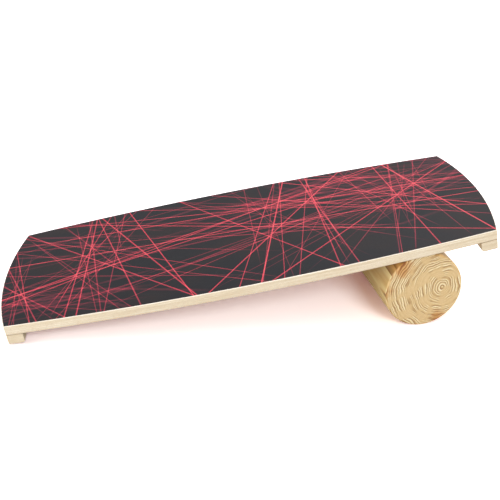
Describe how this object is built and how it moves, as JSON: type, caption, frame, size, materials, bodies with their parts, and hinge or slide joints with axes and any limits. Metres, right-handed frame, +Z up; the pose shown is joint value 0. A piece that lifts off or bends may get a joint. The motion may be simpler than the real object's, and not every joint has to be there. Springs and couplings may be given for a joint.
{
  "type": "balance board",
  "caption": "Bowed plywood balance board with a printed deck and a stopper under each end, leaning on a loose turned pine roller.",
  "frame": {"origin": "on the floor, under the middle of the whole object's box at rest", "axes": "+X along the board, from the low end on the floor to the raised end over the roller; +Y across the board; +Z up"},
  "size_m": [0.7344, 0.3302, 0.1537],
  "materials": {
    "turned_pine": "turned pine, sanded, thin clear oil",
    "printed_film": "satin printed film, charcoal with thin red lines",
    "birch_long_grain": "birch veneer, sanded, clear matt lacquer",
    "birch_cross_grain": "birch cross veneer, end grain showing, clear matt lacquer",
    "zinc_screw": "yellow zinc plated steel"
  },
  "bodies": {
    "roller": {"roller": "turned_pine"},
    "board": {"print_film": "printed_film", "deck_ply_1": "birch_long_grain", "deck_ply_2": "birch_cross_grain", "deck_ply_3": "birch_long_grain", "deck_ply_4": "birch_cross_grain", "deck_ply_5": "birch_long_grain", "deck_ply_6": "birch_cross_grain", "deck_ply_7": "birch_long_grain", "deck_ply_8": "birch_cross_grain", "deck_ply_9": "birch_long_grain", "deck_ply_10": "birch_cross_grain", "deck_ply_11": "birch_long_grain", "left_stopper_ply_1": "birch_long_grain", "left_stopper_ply_2": "birch_cross_grain", "left_stopper_ply_3": "birch_long_grain", "left_stopper_ply_4": "birch_cross_grain", "left_stopper_ply_5": "birch_long_grain", "left_stopper_ply_6": "birch_cross_grain", "left_stopper_ply_7": "birch_long_grain", "left_stopper_ply_8": "birch_cross_grain", "left_stopper_ply_9": "birch_long_grain", "left_stopper_ply_10": "birch_cross_grain", "left_stopper_ply_11": "birch_long_grain", "right_stopper_ply_1": "birch_long_grain", "right_stopper_ply_2": "birch_cross_grain", "right_stopper_ply_3": "birch_long_grain", "right_stopper_ply_4": "birch_cross_grain", "right_stopper_ply_5": "birch_long_grain", "right_stopper_ply_6": "birch_cross_grain", "right_stopper_ply_7": "birch_long_grain", "right_stopper_ply_8": "birch_cross_grain", "right_stopper_ply_9": "birch_long_grain", "right_stopper_ply_10": "birch_cross_grain", "right_stopper_ply_11": "birch_long_grain", "left_stopper_screws": "zinc_screw", "right_stopper_screws": "zinc_screw"}
  },
  "joints": [
    {"name": "board_tilt", "type": "hinge", "parent": "roller", "child": "board", "pos_m": [0.23144, 0.00115, 0.0575], "axis": [-0.106, 0.9944, 0], "range_deg": [0, 47.9]}
  ]
}
